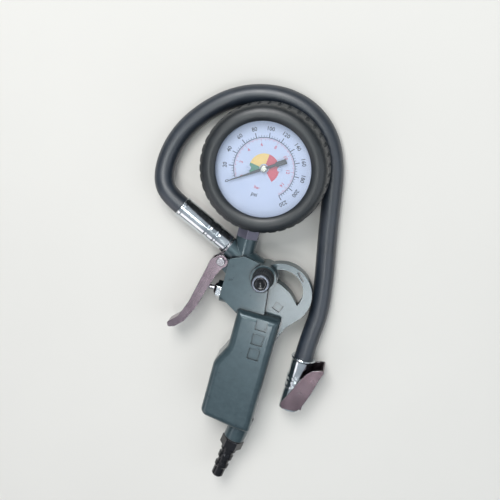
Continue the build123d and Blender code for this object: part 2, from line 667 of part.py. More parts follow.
# ---------------------------------------------------------------- dial and pointer
POINTER_ANGLE = 214.0
POINTER_LONG = 22.8
POINTER_TAIL = 14.2
POINTER_DIR = (cos(radians(POINTER_ANGLE)), sin(radians(POINTER_ANGLE)), 0)
COUNTERWEIGHT = [
    (0, 0.8), (-7.5, 0.8), (-8, 1.5), (-POINTER_TAIL, 1.5), (-POINTER_TAIL, -1.5), (-8, -1.5),
    (-7.5, -0.8), (0, -0.8),
]

with BuildPart() as dial_posts:
    for spot in DIAL_POSTS:
        rod(gauge(*spot, FRONT_PLATE_Z + 1), gauge(*spot, DIAL_FRONT - 0.8), 1.8)
        rod(gauge(*spot, 22), gauge(*spot, 26), 0.8, Mode.SUBTRACT)

with BuildPart() as dial_plate:
    rod(gauge(0, 0, DIAL_FRONT - 0.8), gauge(0, 0, DIAL_FRONT), 29.8)
    rod(gauge(0, 0, 25), gauge(0, 0, 27), 1.6, Mode.SUBTRACT)
    for spot in DIAL_POSTS:
        rod(gauge(*spot, 25), gauge(*spot, 27), 0.9, Mode.SUBTRACT)

with BuildPart() as dial_screws:
    for spot in DIAL_POSTS:
        rod(gauge(*spot, DIAL_FRONT), gauge(*spot, DIAL_FRONT + 0.7), 1.4)
        rod(gauge(*spot, 22.5), gauge(*spot, DIAL_FRONT + 0.1), 0.75)
    for x, y in DIAL_POSTS:
        block(gauge(x - 1.5, y - 0.2, 26.7), gauge(x + 1.5, y + 0.2, 27.2), Mode.SUBTRACT)

with BuildPart() as pointer:
    with BuildSketch(Plane((0, GAUGE_Y, 27.6), x_dir=POINTER_DIR)):
        Polygon((0, 1.0), (0, -1.0), (POINTER_LONG, -0.18), (POINTER_LONG, 0.18), align=None)
        Polygon(*COUNTERWEIGHT, align=None)
        Circle(1.9)
    extrude(amount=0.5)
    rod(gauge(0, 0, 26.9), gauge(0, 0, 27.7), 1.3)
    rod(gauge(0, 0, 26), gauge(0, 0, 29), 0.52, Mode.SUBTRACT)

with BuildPart() as pointer_cap:
    rod(gauge(0, 0, 28.25), gauge(0, 0, 29.3), 2.2)
    fillet(pointer_cap.edges().group_by(Axis.Z)[-1], radius=0.8)

# ---------------------------------------------------------------- chuck
CHUCK_SECTION = Plane(origin=(CHUCK_X, 0, CHUCK_Z), x_dir=(0, 0, 1), z_dir=(-1, 0, 0))
CHUCK_AXIS = Axis((CHUCK_X, 0, CHUCK_Z), (0, 1, 0))
CHUCK_FERRULE_PROFILE = [  # radius, y
    (HOSE_R + 0.05, CHUCK_TOP), (7.6, CHUCK_TOP), (7.9, CHUCK_TOP - 0.6), (7.6, CHUCK_TOP - 1.4),
    (7.0, CHUCK_TOP - 2.0), (6.6, -37.0), (6.6, -40.4), (7.1, -41.0), (7.1, CHUCK_JOIN),
    (NIPPLE_R + 0.1, CHUCK_JOIN), (NIPPLE_R + 0.1, -41.0), (HOSE_R + 0.05, -41.0),
]
CHUCK_BODY_PROFILE = [
    (1.8, -31.0), (NIPPLE_R, -31.0), (NIPPLE_R, -42.05), (6.0, -42.05), (6.0, -43.4), (6.9, -43.8),
    (6.9, -45.2), (5.9, -45.8), (5.9, -47.0), (6.9, -47.5), (6.9, -48.8), (6.3, -49.6), (6.6, -53.0),
    (6.6, CHUCK_MOUTH + 0.6), (6.0, CHUCK_MOUTH), (4.6, CHUCK_MOUTH),
    (CHUCK_BORE_R, CHUCK_MOUTH + 0.5), (CHUCK_BORE_R, -57.6), (5.0, -57.6), (5.0, -52.0), (1.8, -52.0),
]
LEVER_OUTLINE = [
    (70.2, -29.6), (67.8, -37.4), (65.8, -46.6), (63.0, -55.5), (60.4, -60.7), (56.0, -61.8),
    (50.1, -61.9), (48.5, -58.8), (50.3, -55.3), (53.1, -48.7), (56.3, -41.2), (58.8, -35.7),
    (62.3, -31.8), (67.0, -29.9),
]
LEVER_HALF = 9.0
LEVER_SHEET = 1.2
LEVER_BACK_END = -55.4  # the lever's back stops here, clear of the chuck's mouth
LEVER_POCKET = [
    (71.2, -26.0), *LEVER_OUTLINE[1:3], (63.03, LEVER_BACK_END), (70.0, LEVER_BACK_END), (70.0, -70.0),
    (40.0, -70.0), (40.0, -26.0),
]
TOOTH_END = -62.6

with BuildPart() as chuck_ferrule:
    with BuildSketch(CHUCK_SECTION):
        with BuildLine():
            Polyline(*CHUCK_FERRULE_PROFILE, close=True)
        make_face()
    revolve(axis=CHUCK_AXIS)

with BuildPart() as hose_end_chuck:
    rod(chuck(CHUCK_TOP), chuck(-40.9), HOSE_R)
    rod(chuck(-30.9), chuck(-41), NIPPLE_R + 0.05, Mode.SUBTRACT)
    rod(chuck(CHUCK_TOP + 1), chuck(-30.9), NIPPLE_R - 0.4, Mode.SUBTRACT)

with BuildPart() as chuck_body:
    with BuildSketch(CHUCK_SECTION):
        with BuildLine():
            Polyline(*CHUCK_BODY_PROFILE, close=True)
        make_face()
    revolve(axis=CHUCK_AXIS)
    block((60.4, -48.4, 0), (63, -44.0, 20), Mode.SUBTRACT)
    block((57.5, -66, CHUCK_Z - 2.4), (63, -60.4, CHUCK_Z + 2.4), Mode.SUBTRACT)
    rod((*CHUCK_PIN, 0), (*CHUCK_PIN, 20), 1.27, Mode.SUBTRACT)

with BuildPart() as chuck_gasket:
    rod(chuck(-57.5), chuck(-53.2), 4.95)
    rod(chuck(-58), chuck(-53), 2.0, Mode.SUBTRACT)

with BuildPart() as chuck_depressor:
    rod(chuck(-53.1), chuck(-52.1), 4.9)
    with Locations(Plane(origin=chuck(-53.1), z_dir=(0, 1, 0))):
        with PolarLocations(3.0, 3):
            Cylinder(1.1, 1.5, align=FROM_END, mode=Mode.SUBTRACT)
    rod(chuck(-57.5), chuck(-52.1), 1.0)

with BuildPart() as chuck_lever:
    with BuildSketch(Plane.XY.offset(CHUCK_Z - LEVER_HALF)) as lever_outline:
        Polygon(*LEVER_OUTLINE, align=None)
        fillet(lever_outline.vertices(), radius=1.0)
    extrude(amount=2 * LEVER_HALF)
    with BuildSketch(Plane((-1.25, 0, CHUCK_Z - LEVER_HALF + LEVER_SHEET))):
        Polygon(*LEVER_POCKET, align=None)
    extrude(amount=2 * (LEVER_HALF - LEVER_SHEET), mode=Mode.SUBTRACT)
    block((61.7, TOOTH_END, CHUCK_Z - 2), (62.9, LEVER_BACK_END + 1, CHUCK_Z + 2))
    block((CHUCK_X + CHUCK_BORE_R + 0.05, TOOTH_END, CHUCK_Z - 2), (62.9, TOOTH_END + 1.4, CHUCK_Z + 2))
    rod((*CHUCK_PIN, -1), (*CHUCK_PIN, 20), 1.25 + RUN, Mode.SUBTRACT)

with BuildPart() as chuck_lever_pin:
    rod((*CHUCK_PIN, 0.2), (*CHUCK_PIN, 18.4), 1.25)
    rod((*CHUCK_PIN, 18.35), (*CHUCK_PIN, 19.0), 2.1)

# ---------------------------------------------------------------- export
PARTS = {
    "gun_body": gun_body, "inlet_plug": inlet_plug, "inlet_seal": inlet_seal,
    "inlet_filter": inlet_filter, "hose_fitting": hose_fitting, "hose_ferrule": hose_ferrule,
    "hose_end_gun": hose_end_gun, "hose": hose, "hose_end_chuck": hose_end_chuck,
    "trigger": trigger, "trigger_pin": trigger_pin, "trigger_clip": trigger_clip,
    "valve_gland_nut": valve_gland_nut, "gland_o_ring": gland_o_ring, "valve_seat": valve_seat,
    "seat_o_ring": seat_o_ring, "valve_stem": valve_stem, "valve_disc": valve_disc,
    "bleed_collar": bleed_collar, "button_ring": button_ring, "collar_o_ring": collar_o_ring,
    "bleed_button": bleed_button, "bleed_seal": bleed_seal, "rubber_boot": rubber_boot, "gauge_case": gauge_case,
    "case_vent_plug": case_vent_plug, "lens_gasket": lens_gasket, "lens": lens,
    "bezel_ring": bezel_ring, "gauge_socket": gauge_socket, "bourdon_tube": bourdon_tube,
    "bourdon_tip": bourdon_tip, "movement_rear_plate": movement_rear_plate,
    "movement_front_plate": movement_front_plate, "movement_pillars": movement_pillars,
    "movement_screws": movement_screws, "pinion_arbor": pinion_arbor, "sector_gear": sector_gear,
    "link_rivet": link_rivet, "link": link, "hairspring": hairspring, "dial_posts": dial_posts,
    "dial_plate": dial_plate, "dial_screws": dial_screws, "pointer": pointer,
    "pointer_cap": pointer_cap, "chuck_ferrule": chuck_ferrule, "chuck_body": chuck_body,
    "chuck_gasket": chuck_gasket, "chuck_depressor": chuck_depressor, "chuck_lever": chuck_lever,
    "chuck_lever_pin": chuck_lever_pin,
}
for name, piece in PARTS.items():
    piece.part.label = name
    export_step(piece.part, f"parts/{name}.step")
for spring_part in spring_parts:
    export_step(spring_part, f"parts/{spring_part.label}.step")

hose_length = sum(edge.length for edge in hose_path.line.edges())
print("hose bend radii", [round(radius) for radius in HOSE_RADII])
print("hose length", round(hose_length, 1), "volume", round(hose.part.volume))
print("section x length", round(pi * HOSE_R**2 * hose_length))
print("sector pivot", round(SECTOR_X, 3), round(GAUGE_Y + SECTOR_Y, 3))
print("tail", round(TAIL_X, 3), round(GAUGE_Y + TAIL_Y, 3))
CORD_NODES = ["hose", "hose_end_chuck", "chuck_ferrule", "chuck_body", "chuck_gasket", "chuck_depressor",
              "chuck_lever", "chuck_lever_pin"]
rigid = [piece.part for name, piece in PARTS.items() if name not in CORD_NODES]
print("bounds without the hose", Compound(children=rigid).bounding_box())
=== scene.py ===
"""Tyre inflator with gauge: finishes, springs, rubber boot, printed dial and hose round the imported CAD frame.

Metres, in the CAD frame: +Z out of the dial, +Y along the handle towards the gauge.
"""
import json
import math

import bmesh
import bpy
from mathutils import Matrix, Vector


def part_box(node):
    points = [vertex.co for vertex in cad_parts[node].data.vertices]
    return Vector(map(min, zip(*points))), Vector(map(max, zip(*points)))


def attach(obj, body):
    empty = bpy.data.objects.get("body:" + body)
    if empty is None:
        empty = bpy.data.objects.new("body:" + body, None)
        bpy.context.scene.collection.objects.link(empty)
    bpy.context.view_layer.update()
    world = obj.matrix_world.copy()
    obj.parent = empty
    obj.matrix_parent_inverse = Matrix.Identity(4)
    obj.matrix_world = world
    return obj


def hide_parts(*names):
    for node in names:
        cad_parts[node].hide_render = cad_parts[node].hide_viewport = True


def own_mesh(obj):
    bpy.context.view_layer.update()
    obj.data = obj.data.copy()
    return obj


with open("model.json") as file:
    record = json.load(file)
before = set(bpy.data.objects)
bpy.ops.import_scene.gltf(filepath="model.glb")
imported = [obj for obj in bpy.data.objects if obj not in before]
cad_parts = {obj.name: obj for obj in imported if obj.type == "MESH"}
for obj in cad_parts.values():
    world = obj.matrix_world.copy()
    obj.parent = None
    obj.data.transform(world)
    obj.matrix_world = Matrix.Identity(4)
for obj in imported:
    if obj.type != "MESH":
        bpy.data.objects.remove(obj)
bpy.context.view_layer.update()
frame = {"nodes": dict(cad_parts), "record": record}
nodes = frame["nodes"]
MM = 0.001


def add_object(name, data):
    """New object in the scene."""
    thing = bpy.data.objects.new(name, data)
    bpy.context.scene.collection.objects.link(thing)
    return thing


# ---------------------------------------------------------------- shader nodes
MIX_FACTOR, MIX_FIRST, MIX_SECOND, MIX_RESULT = 0, 6, 7, 2  # sockets of a mix node set to colours


def add_node(tree, kind, **values):
    """New shader node with its sockets set by name."""
    node = tree.nodes.new(kind)
    for name, value in values.items():
        node.inputs[name.replace("_", " ")].default_value = value
    return node


def add_ramp(tree, factor, low_at, low, high_at, high):
    """Colour that runs between two stops as a factor grows."""
    node = tree.nodes.new("ShaderNodeValToRGB")
    for stop, at, colour in zip(node.color_ramp.elements, (low_at, high_at), (low, high)):
        stop.position = at
        stop.color = colour
    tree.links.new(factor, node.inputs["Fac"])
    return node.outputs["Color"]


def add_map(tree, value, start, end, low, high):
    """Value rescaled from one range to another."""
    node = add_node(tree, "ShaderNodeMapRange", From_Min=start, From_Max=end, To_Min=low, To_Max=high)
    tree.links.new(value, node.inputs["Value"])
    return node.outputs["Result"]


def add_mix(tree, factor, colour, other):
    """Colour that turns into a fixed other colour as a factor grows."""
    node = tree.nodes.new("ShaderNodeMix")
    node.data_type = "RGBA"
    tree.links.new(factor, node.inputs[MIX_FACTOR])
    tree.links.new(colour, node.inputs[MIX_FIRST])
    node.inputs[MIX_SECOND].default_value = other
    return node.outputs[MIX_RESULT]


# ---------------------------------------------------------------- camera and light
LOOK_AT = Vector((3.6, 32.0, 14.0)) * MM
CAMERA_AT = Vector((42.4, 155.4, 497.0)) * MM
ROLL = math.radians(15.2)
LENS_MM = 57.6
SENSOR_MM = 36
NEAR_CLIP = 0.01
LAMPS = [  # name, place, point it faces, side, watts, colour
    ("key", (-0.25, 0.62, 0.85), (0, 0.03, 0), 0.5, 7.5, (1, 1, 1)),
    ("fill", (0.8, 0.0, 0.7), (0, 0, 0), 0.8, 2.2, (0.90, 0.95, 1.0)),
    ("low", (-0.6, -0.7, 0.5), (0, 0, 0), 0.6, 1.6, (1.0, 0.93, 0.95)),
    ("glint", (0.04, -0.28, 0.97), (0.03, 0, 0), 0.12, 0.95, (1, 1, 1)),
    ("sheen", (-0.10, 0.10, 0.95), (0, 0.1, 0), 0.12, 1.1, (0.92, 1.0, 0.97)),
]
HORIZON = (0.13, 0.15, 0.165, 1)
OVERHEAD = (0.62, 0.68, 0.75, 1)
OVERHEAD_FROM = 0.85
WORLD_STRENGTH = 0.7


def add_camera():
    """Camera above the dial, leaning towards the gauge, with the handle turned a little clockwise."""
    forward = (LOOK_AT - CAMERA_AT).normalized()
    across = forward.cross(Vector((0, 1, 0))).normalized()
    upward = across.cross(forward)
    right = across * math.cos(ROLL) + upward * math.sin(ROLL)
    up = upward * math.cos(ROLL) - across * math.sin(ROLL)
    data = bpy.data.cameras.new("camera")
    data.lens = LENS_MM
    data.sensor_width = SENSOR_MM
    data.clip_start = NEAR_CLIP
    camera = add_object("camera", data)
    axes = Matrix((right, up, -forward)).transposed().to_4x4()
    camera.matrix_world = Matrix.Translation(CAMERA_AT) @ axes
    bpy.context.scene.camera = camera


def add_lamps():
    """Soft square lamps, each aimed at a point."""
    for name, at, target, side, watts, colour in LAMPS:
        data = bpy.data.lights.new(name, "AREA")
        data.size = side
        data.energy = watts
        data.color = colour
        lamp = add_object(name, data)
        lamp.location = at
        lamp.rotation_euler = (Vector(target) - Vector(at)).to_track_quat("-Z", "Y").to_euler()


def add_world():
    """Soft studio surround: bright overhead, dim near the horizon, so that bright metal has contrast."""
    world = bpy.data.worlds.new("studio")
    world.use_nodes = True
    tree = world.node_tree
    place = tree.nodes.new("ShaderNodeTexCoord")
    split = tree.nodes.new("ShaderNodeSeparateXYZ")
    tree.links.new(place.outputs["Generated"], split.inputs[0])
    sky = add_ramp(tree, split.outputs["Z"], 0.0, HORIZON, OVERHEAD_FROM, OVERHEAD)
    background = tree.nodes["Background"]
    tree.links.new(sky, background.inputs["Color"])
    background.inputs["Strength"].default_value = WORLD_STRENGTH
    bpy.context.scene.world = world
    bpy.context.scene.view_settings.view_transform = "Standard"


# ---------------------------------------------------------------- finishes
CLOUD_STOPS = (0.28, 0.72)  # noise at which a finish shows its dark and its light colour
GLOSS_STOPS = (0.3, 0.7)  # noise at which it has its low and its high roughness
CLOUD_DETAIL = 5.0
GRAIN_DETAIL = 3.0
NOISE_ROUGHNESS = 0.6
COAT_ROUGHNESS = 0.12
BEVEL_SAMPLES = 4
WEAR_AND_HIGHLIGHT_STOPS = (0.985, 0.90)  # agreement of true and softened normals where edge wear and painted highlight begin and are full
# painted shade: ambient occlusion darkens hollows and recesses
HOLLOW_SHADE_SAMPLES = 6
HOLLOW_SHADE_REACH = 0.0022
HOLLOW_SHADE_STOPS = (0.55, 0.92)  # openness at which the painted shade is full and at which it ends


def tone(red, green, blue):
    """Linear colour from display values of 0 to 255."""
    return tuple((value / 255) ** 2.2 for value in (red, green, blue)) + (1,)


def finish(name, dark, light, metallic=0.0, rough=(0.3, 0.5), cloud=90.0, grain=900.0, bump=0.15,
           depth=0.1, coat=0.0, specular=0.5, edge_wear_and_highlight=None, hollow_shade=None, edge_width=0.5, alpha=1.0):
    """Finish whose colour and roughness drift in clouds, with a fine grain and softened edges.

    Colours are display values. The edge colour lightens the edges, partly as wear and partly as a
    painted highlight, and the hollow colour darkens hollows as painted shade. Cloud and grain are
    cycles per metre. Depth and edge_width are in millimetres.
    """
    material = bpy.data.materials.new(name)
    material.use_nodes = True
    tree = material.node_tree
    link = tree.links.new
    shader = tree.nodes["Principled BSDF"]
    shader.inputs["Metallic"].default_value = metallic
    shader.inputs["Specular IOR Level"].default_value = specular
    shader.inputs["Coat Weight"].default_value = coat
    shader.inputs["Coat Roughness"].default_value = COAT_ROUGHNESS
    shader.inputs["Alpha"].default_value = alpha
    place = tree.nodes.new("ShaderNodeTexCoord")
    broad = add_node(tree, "ShaderNodeTexNoise", Scale=cloud, Detail=CLOUD_DETAIL, Roughness=NOISE_ROUGHNESS)
    fine = add_node(tree, "ShaderNodeTexNoise", Scale=grain, Detail=GRAIN_DETAIL, Roughness=NOISE_ROUGHNESS)
    link(place.outputs["Object"], broad.inputs["Vector"])
    link(place.outputs["Object"], fine.inputs["Vector"])
    clouds = broad.outputs["Fac"]
    colour = add_ramp(tree, clouds, CLOUD_STOPS[0], tone(*dark), CLOUD_STOPS[1], tone(*light))

    soft = add_node(tree, "ShaderNodeBevel", Radius=edge_width * MM)
    soft.samples = BEVEL_SAMPLES
    # edges lightened towards the edge colour: partly wear, partly a painted highlight
    if edge_wear_and_highlight:
        geometry = tree.nodes.new("ShaderNodeNewGeometry")
        facing = tree.nodes.new("ShaderNodeVectorMath")
        facing.operation = "DOT_PRODUCT"
        link(soft.outputs["Normal"], facing.inputs[0])
        link(geometry.outputs["Normal"], facing.inputs[1])
        patchy = tree.nodes.new("ShaderNodeMath")
        patchy.operation = "MULTIPLY"
        link(add_map(tree, facing.outputs["Value"], *WEAR_AND_HIGHLIGHT_STOPS, 0.0, 1.0), patchy.inputs[0])
        link(clouds, patchy.inputs[1])
        colour = add_mix(tree, patchy.outputs["Value"], colour, tone(*edge_wear_and_highlight))
    # painted shade: hollows and recesses darkened towards the hollow colour by ambient occlusion
    if hollow_shade:
        hollow = add_node(tree, "ShaderNodeAmbientOcclusion", Distance=HOLLOW_SHADE_REACH)
        hollow.samples = HOLLOW_SHADE_SAMPLES
        hollow.only_local = True
        shade = add_map(tree, hollow.outputs["AO"], *HOLLOW_SHADE_STOPS, 1.0, 0.0)
        colour = add_mix(tree, shade, colour, tone(*hollow_shade))
    link(colour, shader.inputs["Base Color"])
    link(add_map(tree, clouds, *GLOSS_STOPS, *rough), shader.inputs["Roughness"])

    relief = add_node(tree, "ShaderNodeBump", Strength=bump, Distance=depth * MM)
    link(fine.outputs["Fac"], relief.inputs["Height"])
    link(soft.outputs["Normal"], relief.inputs["Normal"])
    link(relief.outputs["Normal"], shader.inputs["Normal"])
    return material


# lighter edge colour of the metals: partly wear, partly a painted highlight
STEEL_WEAR_AND_HIGHLIGHT = (214, 220, 222)
INK = dict(rough=(0.45, 0.6), bump=0.0)
LOOKS = {
    # the frame's material slots
    "body_paint": dict(dark=(57, 72, 78), light=(68, 84, 89), metallic=0.4, rough=(0.27, 0.33), cloud=220.0,
                       bump=0.22, coat=0.35, edge_wear_and_highlight=(150, 166, 172), hollow_shade=(24, 30, 34)),
    "chrome": dict(dark=(186, 192, 196), light=(222, 227, 230), metallic=1.0, rough=(0.1, 0.2),
                   bump=0.08, depth=0.05, edge_wear_and_highlight=STEEL_WEAR_AND_HIGHLIGHT),
    "trigger_steel": dict(dark=(128, 114, 121), light=(143, 130, 137), metallic=0.9, rough=(0.20, 0.27),
                          cloud=120.0, bump=0.05, edge_wear_and_highlight=STEEL_WEAR_AND_HIGHLIGHT, hollow_shade=(60, 48, 56)),
    "zinc_steel": dict(dark=(150, 148, 152), light=(192, 190, 194), metallic=1.0, rough=(0.16, 0.32),
                       edge_wear_and_highlight=STEEL_WEAR_AND_HIGHLIGHT),
    "dark_steel": dict(dark=(13, 13, 15), light=(30, 30, 35), metallic=0.55, rough=(0.14, 0.28),
                       coat=0.35, edge_wear_and_highlight=(104, 104, 112)),
    "neck_metal": dict(dark=(92, 90, 104), light=(114, 111, 124), metallic=0.4, rough=(0.3, 0.45),
                       edge_wear_and_highlight=(140, 138, 152)),
    "case_steel": dict(dark=(12, 13, 14), light=(26, 27, 29), metallic=0.2, rough=(0.3, 0.45), coat=0.3),
    "brass": dict(dark=(176, 146, 86), light=(206, 180, 118), metallic=1.0, rough=(0.18, 0.34),
                  edge_wear_and_highlight=(235, 215, 160)),
    "bronze": dict(dark=(120, 92, 62), light=(150, 118, 84), metallic=0.8, rough=(0.5, 0.7),
                   grain=3000.0, bump=0.8),
    "spring_steel": dict(dark=(140, 142, 146), light=(190, 192, 196), metallic=1.0, rough=(0.14, 0.28)),
    "boot_rubber": dict(dark=(14, 19, 23), light=(24, 31, 35), rough=(0.36, 0.48), cloud=120.0,
                        grain=1400.0, bump=0.2, specular=0.8, edge_wear_and_highlight=(66, 76, 78)),
    "hose_rubber": dict(dark=(26, 33, 42), light=(38, 47, 58), rough=(0.38, 0.46), cloud=120.0,
                        bump=0.12, specular=1.0),
    "seal_rubber": dict(dark=(16, 16, 17), light=(28, 28, 30), rough=(0.5, 0.65)),
    "black_plastic": dict(dark=(12, 13, 17), light=(26, 28, 34), rough=(0.26, 0.4), edge_wear_and_highlight=(92, 94, 104)),
    "dial_white": dict(dark=(176, 188, 216), light=(188, 199, 225), rough=(0.35, 0.5), cloud=30.0,
                       bump=0.05),
    "pointer_black": dict(dark=(8, 9, 11), light=(18, 20, 22), metallic=0.1, rough=(0.3, 0.45)),
    "lens_clear": dict(dark=(205, 218, 232), light=(225, 234, 243), rough=(0.03, 0.07), bump=0.0,
                       edge_width=0.2, alpha=0.09),
    # single nodes, the dial's print and the floor
    "ring_chrome": dict(dark=(84, 88, 96), light=(112, 117, 126), metallic=1.0, rough=(0.26, 0.36),
                        edge_wear_and_highlight=STEEL_WEAR_AND_HIGHLIGHT, edge_width=0.3),
    # darker copy of the trigger steel for the chuck lever: painted shade
    "shaded_lever_steel": dict(dark=(92, 79, 84), light=(116, 102, 108), metallic=0.9, rough=(0.18, 0.28),
                        cloud=120.0, bump=0.06, edge_wear_and_highlight=STEEL_WEAR_AND_HIGHLIGHT, hollow_shade=(40, 30, 34)),
    "cap_steel": dict(dark=(150, 150, 142), light=(186, 186, 174), metallic=1.0, rough=(0.2, 0.3),
                      edge_wear_and_highlight=STEEL_WEAR_AND_HIGHLIGHT, edge_width=0.2),
    "print_black": dict(dark=(16, 18, 34), light=(34, 36, 54), **INK),
    "print_red": dict(dark=(176, 92, 112), light=(196, 112, 130), **INK),
    "fan_green": dict(dark=(52, 118, 92), light=(70, 136, 108), **INK),
    "fan_yellow": dict(dark=(222, 186, 96), light=(236, 204, 120), **INK),
    "fan_red": dict(dark=(186, 60, 78), light=(204, 78, 92), **INK),
    "floor_pale": dict(dark=(214, 211, 205), light=(219, 216, 210), rough=(0.8, 0.9), cloud=3.0, bump=0.0),
}
FINISHES = {name: finish(name, **look) for name, look in LOOKS.items()}
NODE_FINISHES = {  # nodes that look different from the rest of their slot
    "dial_screws": "dial_white",
    "button_ring": "ring_chrome",
    "pointer_cap": "cap_steel",
    # chuck lever and its pin painted darker than the trigger: painted shade
    "chuck_lever": "shaded_lever_steel",
    "chuck_lever_pin": "shaded_lever_steel",
}


def dress_cad_nodes():
    """Give every CAD node the finish of its material slot."""
    for part in frame["record"]["subparts"]:
        node = nodes[part["node"]]
        material = FINISHES[part["material_slot"]]
        if node.material_slots:
            for material_slot in node.material_slots:
                material_slot.material = material
        else:
            node.data.materials.append(material)
    for name, look in NODE_FINISHES.items():
        nodes[name].material_slots[0].material = FINISHES[look]


# ---------------------------------------------------------------- floor
FLOOR_SIDE = 6.0
FLOOR_GAP = 0.0002


def add_floor():
    """Plain pale floor under the object."""
    mesh = bpy.data.meshes.new("floor")
    corners = [(x * FLOOR_SIDE, y * FLOOR_SIDE, 0) for x, y in ((-1, -1), (1, -1), (1, 1), (-1, 1))]
    mesh.from_pydata(corners, [], [(0, 1, 2, 3)])
    mesh.materials.append(FINISHES["floor_pale"])
    floor = add_object("floor", mesh)
    floor.location = (0, 0, -FLOOR_GAP)


# ---------------------------------------------------------------- springs
SPRING_TRAVEL = [  # CAD node, joint that squeezes it, direction, seat it is squeezed against, share kept
    ("valve_spring", "valve_slide", (1, 0, 0), (0.0195, 0.0017, 0.0135), 0.56),
    ("bleed_spring", "bleed_slide", (0, 0, 1), (0.0169, 0.01965, 0.0220), 0.67),
    ("chuck_spring", "chuck_lever_pivot", (1, 0, 0), (0.0604, -0.0460, 0.0093), 0.70),
]


def add_piece(name, mesh, look, smooth=False):
    """Link a mesh as a piece that rides on the gun and the finish it wears."""
    for face in mesh.polygons:
        face.use_smooth = smooth
    mesh.materials.clear()
    mesh.materials.append(FINISHES[look])
    piece = add_object(name, mesh)
    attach(piece, "gun")
    return piece


def add_springs():
    """Spring coils copied from the CAD springs onto the gun, in place of the hidden CAD nodes."""
    for node, joint, along, seat, keep in SPRING_TRAVEL:
        coil = add_piece(f"{node}_coil", nodes[node].data.copy(), "spring_steel", smooth=True)
        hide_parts(node)
        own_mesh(coil)


# ---------------------------------------------------------------- rubber boot
dial_low, dial_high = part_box("dial_plate")
DIAL = (Vector(dial_low) + Vector(dial_high)) / 2
DIAL_FRONT = dial_high[2]
TREADS = 40
TREAD_STEPS = 10  # sides of the boot for each tread
GROOVE_STEPS = 3  # how many of them are pressed in
TREAD_DEPTH = 0.8
TREAD_LOW = 15.6
TREAD_FULL = 29.2  # above this height the treads run out over the shoulder
TREAD_HIGH = 32.6
SHOULDER_R = 35.0  # only the section outside this radius has treads
HEIGHT_SLACK = 0.01
CORNER_STEPS = 7
SHARP_FROM = math.radians(38)
BOOT_PROFILE = [  # radius, height and how far each corner is rounded, in millimetres
    (25.0, 0.0, 0), (31.4, 0.0, 1.0), (32.6, 1.4, 1.0), (32.6, 13.0, 0.5), (38.3, 13.0, 0.9),
    (39.2, 14.4, 0.7), (39.2, 15.2, 0), (39.2, TREAD_LOW, 0), (39.2, 21.0, 2.0),
    (38.5, TREAD_FULL, 0), (38.1, 32.4, 2.6), (34.4, 35.0, 2.0), (30.6, 35.0, 1.6), (28.4, 33.4, 0.7),
    (28.4, 32.3, 0), (32.1, 32.3, 0), (32.1, 23.0, 0), (31.05, 22.4, 0), (31.05, 2.3, 0), (25.0, 2.3, 0),
]


def round_dial(radius, angle, height):
    """Point round the dial's axis, from a radius in millimetres, an angle and a height in metres."""
    return DIAL.x + radius * MM * math.cos(angle), DIAL.y + radius * MM * math.sin(angle), height


def soften(profile):
    """Profile with each corner replaced by a short curve of its own length."""
    points = []
    for index, (radius, height, reach) in enumerate(profile):
        here = Vector((radius, height))
        if reach == 0:
            points.append(here)
            continue
        before = Vector(profile[index - 1][:2])
        after = Vector(profile[(index + 1) % len(profile)][:2])
        start = here + (before - here).normalized() * reach
        end = here + (after - here).normalized() * reach
        for step in range(CORNER_STEPS + 1):
            t = step / CORNER_STEPS
            points.append(start * (1 - t) ** 2 + here * (2 * t * (1 - t)) + end * t**2)
    return points


def add_boot():
    """Moulded rubber boot: lathed section, with treads pressed into the edge of its front ring."""
    points = soften(BOOT_PROFILE)
    count = len(points)
    sides = TREADS * TREAD_STEPS
    vertices = []
    faces = []
    for side in range(sides):
        angle = 2 * math.pi * side / sides
        in_groove = side % TREAD_STEPS < GROOVE_STEPS
        for point in points:
            radius = point.x
            if in_groove and TREAD_LOW - HEIGHT_SLACK <= point.y <= TREAD_HIGH and radius > SHOULDER_R:
                radius -= TREAD_DEPTH * min(1, (TREAD_HIGH - point.y) / (TREAD_HIGH - TREAD_FULL))
            vertices.append(round_dial(radius, angle, point.y * MM))
        here = side * count
        there = (side + 1) % sides * count
        for index in range(count):
            up = (index + 1) % count
            faces.append((here + index, there + index, there + up, here + up))
    mesh = bpy.data.meshes.new("moulded_boot")
    mesh.from_pydata(vertices, [], faces)
    boot = add_piece("moulded_boot", mesh, "boot_rubber", smooth=True)
    mesh.set_sharp_from_angle(angle=SHARP_FROM)
    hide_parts("rubber_boot")


# ---------------------------------------------------------------- printed dial
# Lengths and radii are in millimetres, directions in degrees anticlockwise from +X.
SCALE_START = 213.6
SCALE_SWEEP = 260.0
GAUGE_LEAN = -6.2  # the gauge is screwed in a little clockwise
WORDS_AT = 270 + GAUGE_LEAN
PRINT_RISE = 0.04
STROKE = 0.08
LETTER_STEPS = 3
ARC_R = 18.4
ARC_STEPS = 120

PSI_FULL = 220
PSI_STEP = 4
PSI_MAJOR = 20
PSI_ARC = (ARC_R - 0.25, ARC_R + 0.2)
PSI_MAJOR_TICK = (3.0, 0.5)  # length and width
PSI_MINOR_TICK = (1.3, 0.28)
PSI_NUMBERS = (3.3, 23.7)  # size and radius
PSI_WORD = (3.4, 16.6)

BAR_FULL = 15.17
BAR_LAST = int(BAR_FULL)
BAR_MAJOR = 2
BAR_ARC = (ARC_R - 0.85, ARC_R - 0.65)
BAR_TICK_R = ARC_R - 0.75
BAR_MAJOR_TICK = (1.7, 0.2)
BAR_MINOR_TICK = (1.0, 0.2)
BAR_NUMBERS = (2.8, 14.2)
BAR_WORD = (2.6, 12.2)

FAN_R = (2.8, 9.0)
FAN_STEPS = 24
GREEN_TO = 172.0
YELLOW_TO = 84.0


def on_dial(radius, degrees):
    """Point just above the dial face."""
    return Vector(round_dial(radius, math.radians(degrees), DIAL_FRONT + PRINT_RISE * MM))


def angle_of(share):
    """Direction of a reading, as a share of the full scale."""
    return SCALE_START - SCALE_SWEEP * share


